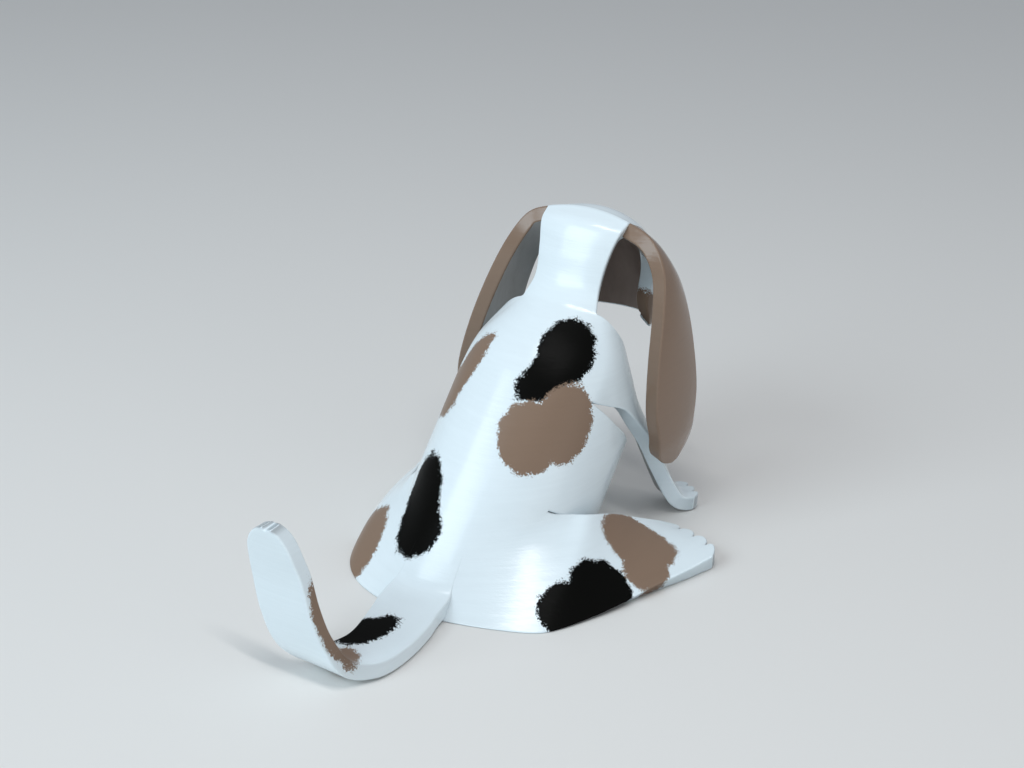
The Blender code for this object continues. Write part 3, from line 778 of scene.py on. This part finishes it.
def build_figure():
    """Every strip of the pipe, the nose and the eyes."""
    body_paint = painted("painted_pipe", WHITE_PAINT, BLACK_PATCHES, BROWN_PATCHES)
    ear_paint = painted("painted_ear", BROWN_PAINT)
    pad_paint = painted("painted_pad", BLACK_PAINT)
    # The face's inside takes darker, warmer plain colours: painted shade and a painted warm
    # reflection
    face_paint_shaded_inside = painted(
        "painted_face_shaded_inside", WHITE_PAINT, BLACK_PATCHES, BROWN_PATCHES, (SHADED_MUZZLE_DARKER, SHADED_MUZZLE_PALER)
    )

    back, climb, face = back_rows(), neck_rows(), face_rows()
    hind_legs = {}
    for side, stations in ((1, RIGHT_HIND_LEG), (-1, LEFT_HIND_LEG)):
        hind_legs[side] = limb_rows(back, 0, HAUNCH_ROWS, side, stations, LIMB_ALONG)
        ease_seam(back, hind_legs[side], side)
    spine_normals = outward_normals(np.vstack([back, climb[1:], face[1:]]), (0.0, -0.6, 0.8))
    low, high = len(back) - 1, len(back) + len(climb) - 2
    back_normals = spine_normals[:low + 1].copy()
    neck_normals = spine_normals[low:high + 1].copy()
    face_normals = spine_normals[high:].copy()

    for word, side in (("right", 1), ("left", -1)):
        leaf = limb_rows(face, 0, EAR_ROWS, side, ear_stations(side), LIMB_ALONG)
        leaf = round_tip(leaf, EAR_TIP)
        leaf_normals = outward_normals(leaf, (side, 0.0, 0.0))
        join_normals(face_normals, 0, EAR_ROWS, side, leaf_normals)
        shell(word + "_ear", leaf, leaf_normals, "end left right", ear_paint)

        first = low - SHOULDER_ROWS
        limb = limb_rows(back, first, low, side, front_leg_stations(side), LIMB_ALONG)
        limb_normals = outward_normals(limb, (side, 0.5, 0.5))
        join_normals(back_normals, first, low, side, limb_normals)
        limb = scallop(limb, limb_normals, 3, FRONT_FOOT_ROUND)
        shell(word + "_front_leg", limb, limb_normals, "end left right", body_paint)

        limb = hind_legs[side]
        limb_normals = outward_normals(limb, (side, -0.5, 0.8))
        join_normals(back_normals, 0, HAUNCH_ROWS, side, limb_normals)
        limb = scallop(limb, limb_normals, 4, HIND_FOOT_ROUND)
        shell(word + "_hind_leg", limb, limb_normals, "end left right", body_paint)

    shell("back_panel", back, back_normals, "start", body_paint)
    shell("neck", climb, neck_normals, "left right", body_paint)
    shell("face_panel", face, face_normals, "end left right", face_paint_shaded_inside)
    outer = belly_rows(PIPE_RADIUS)
    shell(
        "belly_panel", outer, outward_normals(outer, (0.0, 0.7, -0.7)), "start end",
        body_paint, bottom=belly_rows(PIPE_RADIUS - WALL),
    )
    strip = tail_rows(back)
    strip_normals = outward_normals(strip, (0.0, 0.5, 1.0))
    full = np.clip(TAIL_ROOT + np.linspace(0.0, 1.0, len(strip)) / TAIL_FILL, 0.0, 1.0)
    shell(
        "tail", strip, strip_normals, "end left right", body_paint,
        bottom=strip - (WALL * full)[:, None, None] * strip_normals, raw=False,
    )


    middle = SPINE_ACROSS // 2
    for name, row, column, size, taper, nostrils in (
        ("nose", NOSE_ROW, middle, NOSE_SIZE, NOSE_TAPER, NOSTRIL_DEPTH),
        ("right_eye", EYE_ROW, middle + EYE_STEP, EYE_SIZE, 0.0, 0.0),
        ("left_eye", EYE_ROW, middle - EYE_STEP, EYE_SIZE, 0.0, 0.0),
    ):
        pad(name, face[row, column], face_normals[row, column], size, taper, nostrils, pad_paint)


# Floor and lights; places and sizes of the lamps are in metres of the frame
FLOOR_REACH = 6.0
FLOOR_DROP = 0.0004          # the floor lies this far under the table plane
FLOOR_COLOUR = (0.80, 0.785, 0.76, 1.0)
SKY_COLOUR = (0.86, 0.92, 1.0, 1.0)
SKY_STRENGTH = 0.40
LAMP_AIM = (0.0, 80.0, 60.0)
LAMPS = (
    ("strip", (-0.25, 0.23, 1.16), (0.90, 0.07), 4.2, (1.0, 1.0, 1.0)),
    ("window", (0.6, 1.4, 1.1), (1.2, 1.0), 15.5, (0.78, 0.92, 1.0)),
    ("fill", (-1.5, 0.3, 0.5), (1.0, 0.8), 1.5, (1.0, 0.96, 0.92)),
)
STRIP_TURN = -0.155          # the strip light hangs level, turned this far


def build_stage():
    """Pale plain floor, soft studio light and the camera."""
    mesh = bpy.data.meshes.new("floor")
    mesh.from_pydata([
        (-FLOOR_REACH, -FLOOR_REACH, -FLOOR_DROP), (FLOOR_REACH, -FLOOR_REACH, -FLOOR_DROP),
        (FLOOR_REACH, FLOOR_REACH, -FLOOR_DROP), (-FLOOR_REACH, FLOOR_REACH, -FLOOR_DROP),
    ], [], [(0, 1, 2, 3)])
    floor = bpy.data.objects.new("floor", mesh)
    bpy.context.scene.collection.objects.link(floor)
    pale = bpy.data.materials.new("pale_floor")
    pale.use_nodes = True
    shader = pale.node_tree.nodes["Principled BSDF"]
    shader.inputs["Base Color"].default_value = FLOOR_COLOUR
    shader.inputs["Roughness"].default_value = 0.7
    mesh.materials.append(pale)

    world = bpy.data.worlds.new("studio")
    world.use_nodes = True
    sky = world.node_tree.nodes["Background"]
    sky.inputs["Color"].default_value = SKY_COLOUR
    sky.inputs["Strength"].default_value = SKY_STRENGTH
    bpy.context.scene.world = world
    bpy.context.scene.view_settings.view_transform = "Standard"

    aim = Vector(place(LAMP_AIM))
    for name, where, size, power, colour in LAMPS:
        lamp = bpy.data.lights.new(name, "AREA")
        lamp.shape = "RECTANGLE"
        lamp.size, lamp.size_y = size
        lamp.energy = power
        lamp.color = colour
        holder = bpy.data.objects.new(name, lamp)
        holder.location = where
        holder.rotation_euler = (aim - Vector(where)).to_track_quat("-Z", "Y").to_euler()
        if name == "strip":
            holder.rotation_euler = (0.0, 0.0, STRIP_TURN)
        bpy.context.scene.collection.objects.link(holder)

    lens = bpy.data.cameras.new("camera")
    lens.lens = CAMERA_LENS
    lens.sensor_width = 36.0
    camera = bpy.data.objects.new("camera", lens)
    camera.location = place(CAMERA_PLACE)
    look = Vector(place(CAMERA_AIM)) - camera.location
    camera.rotation_euler = look.to_track_quat("-Z", "Y").to_euler()
    bpy.context.scene.collection.objects.link(camera)
    bpy.context.scene.camera = camera


build_figure()
build_stage()
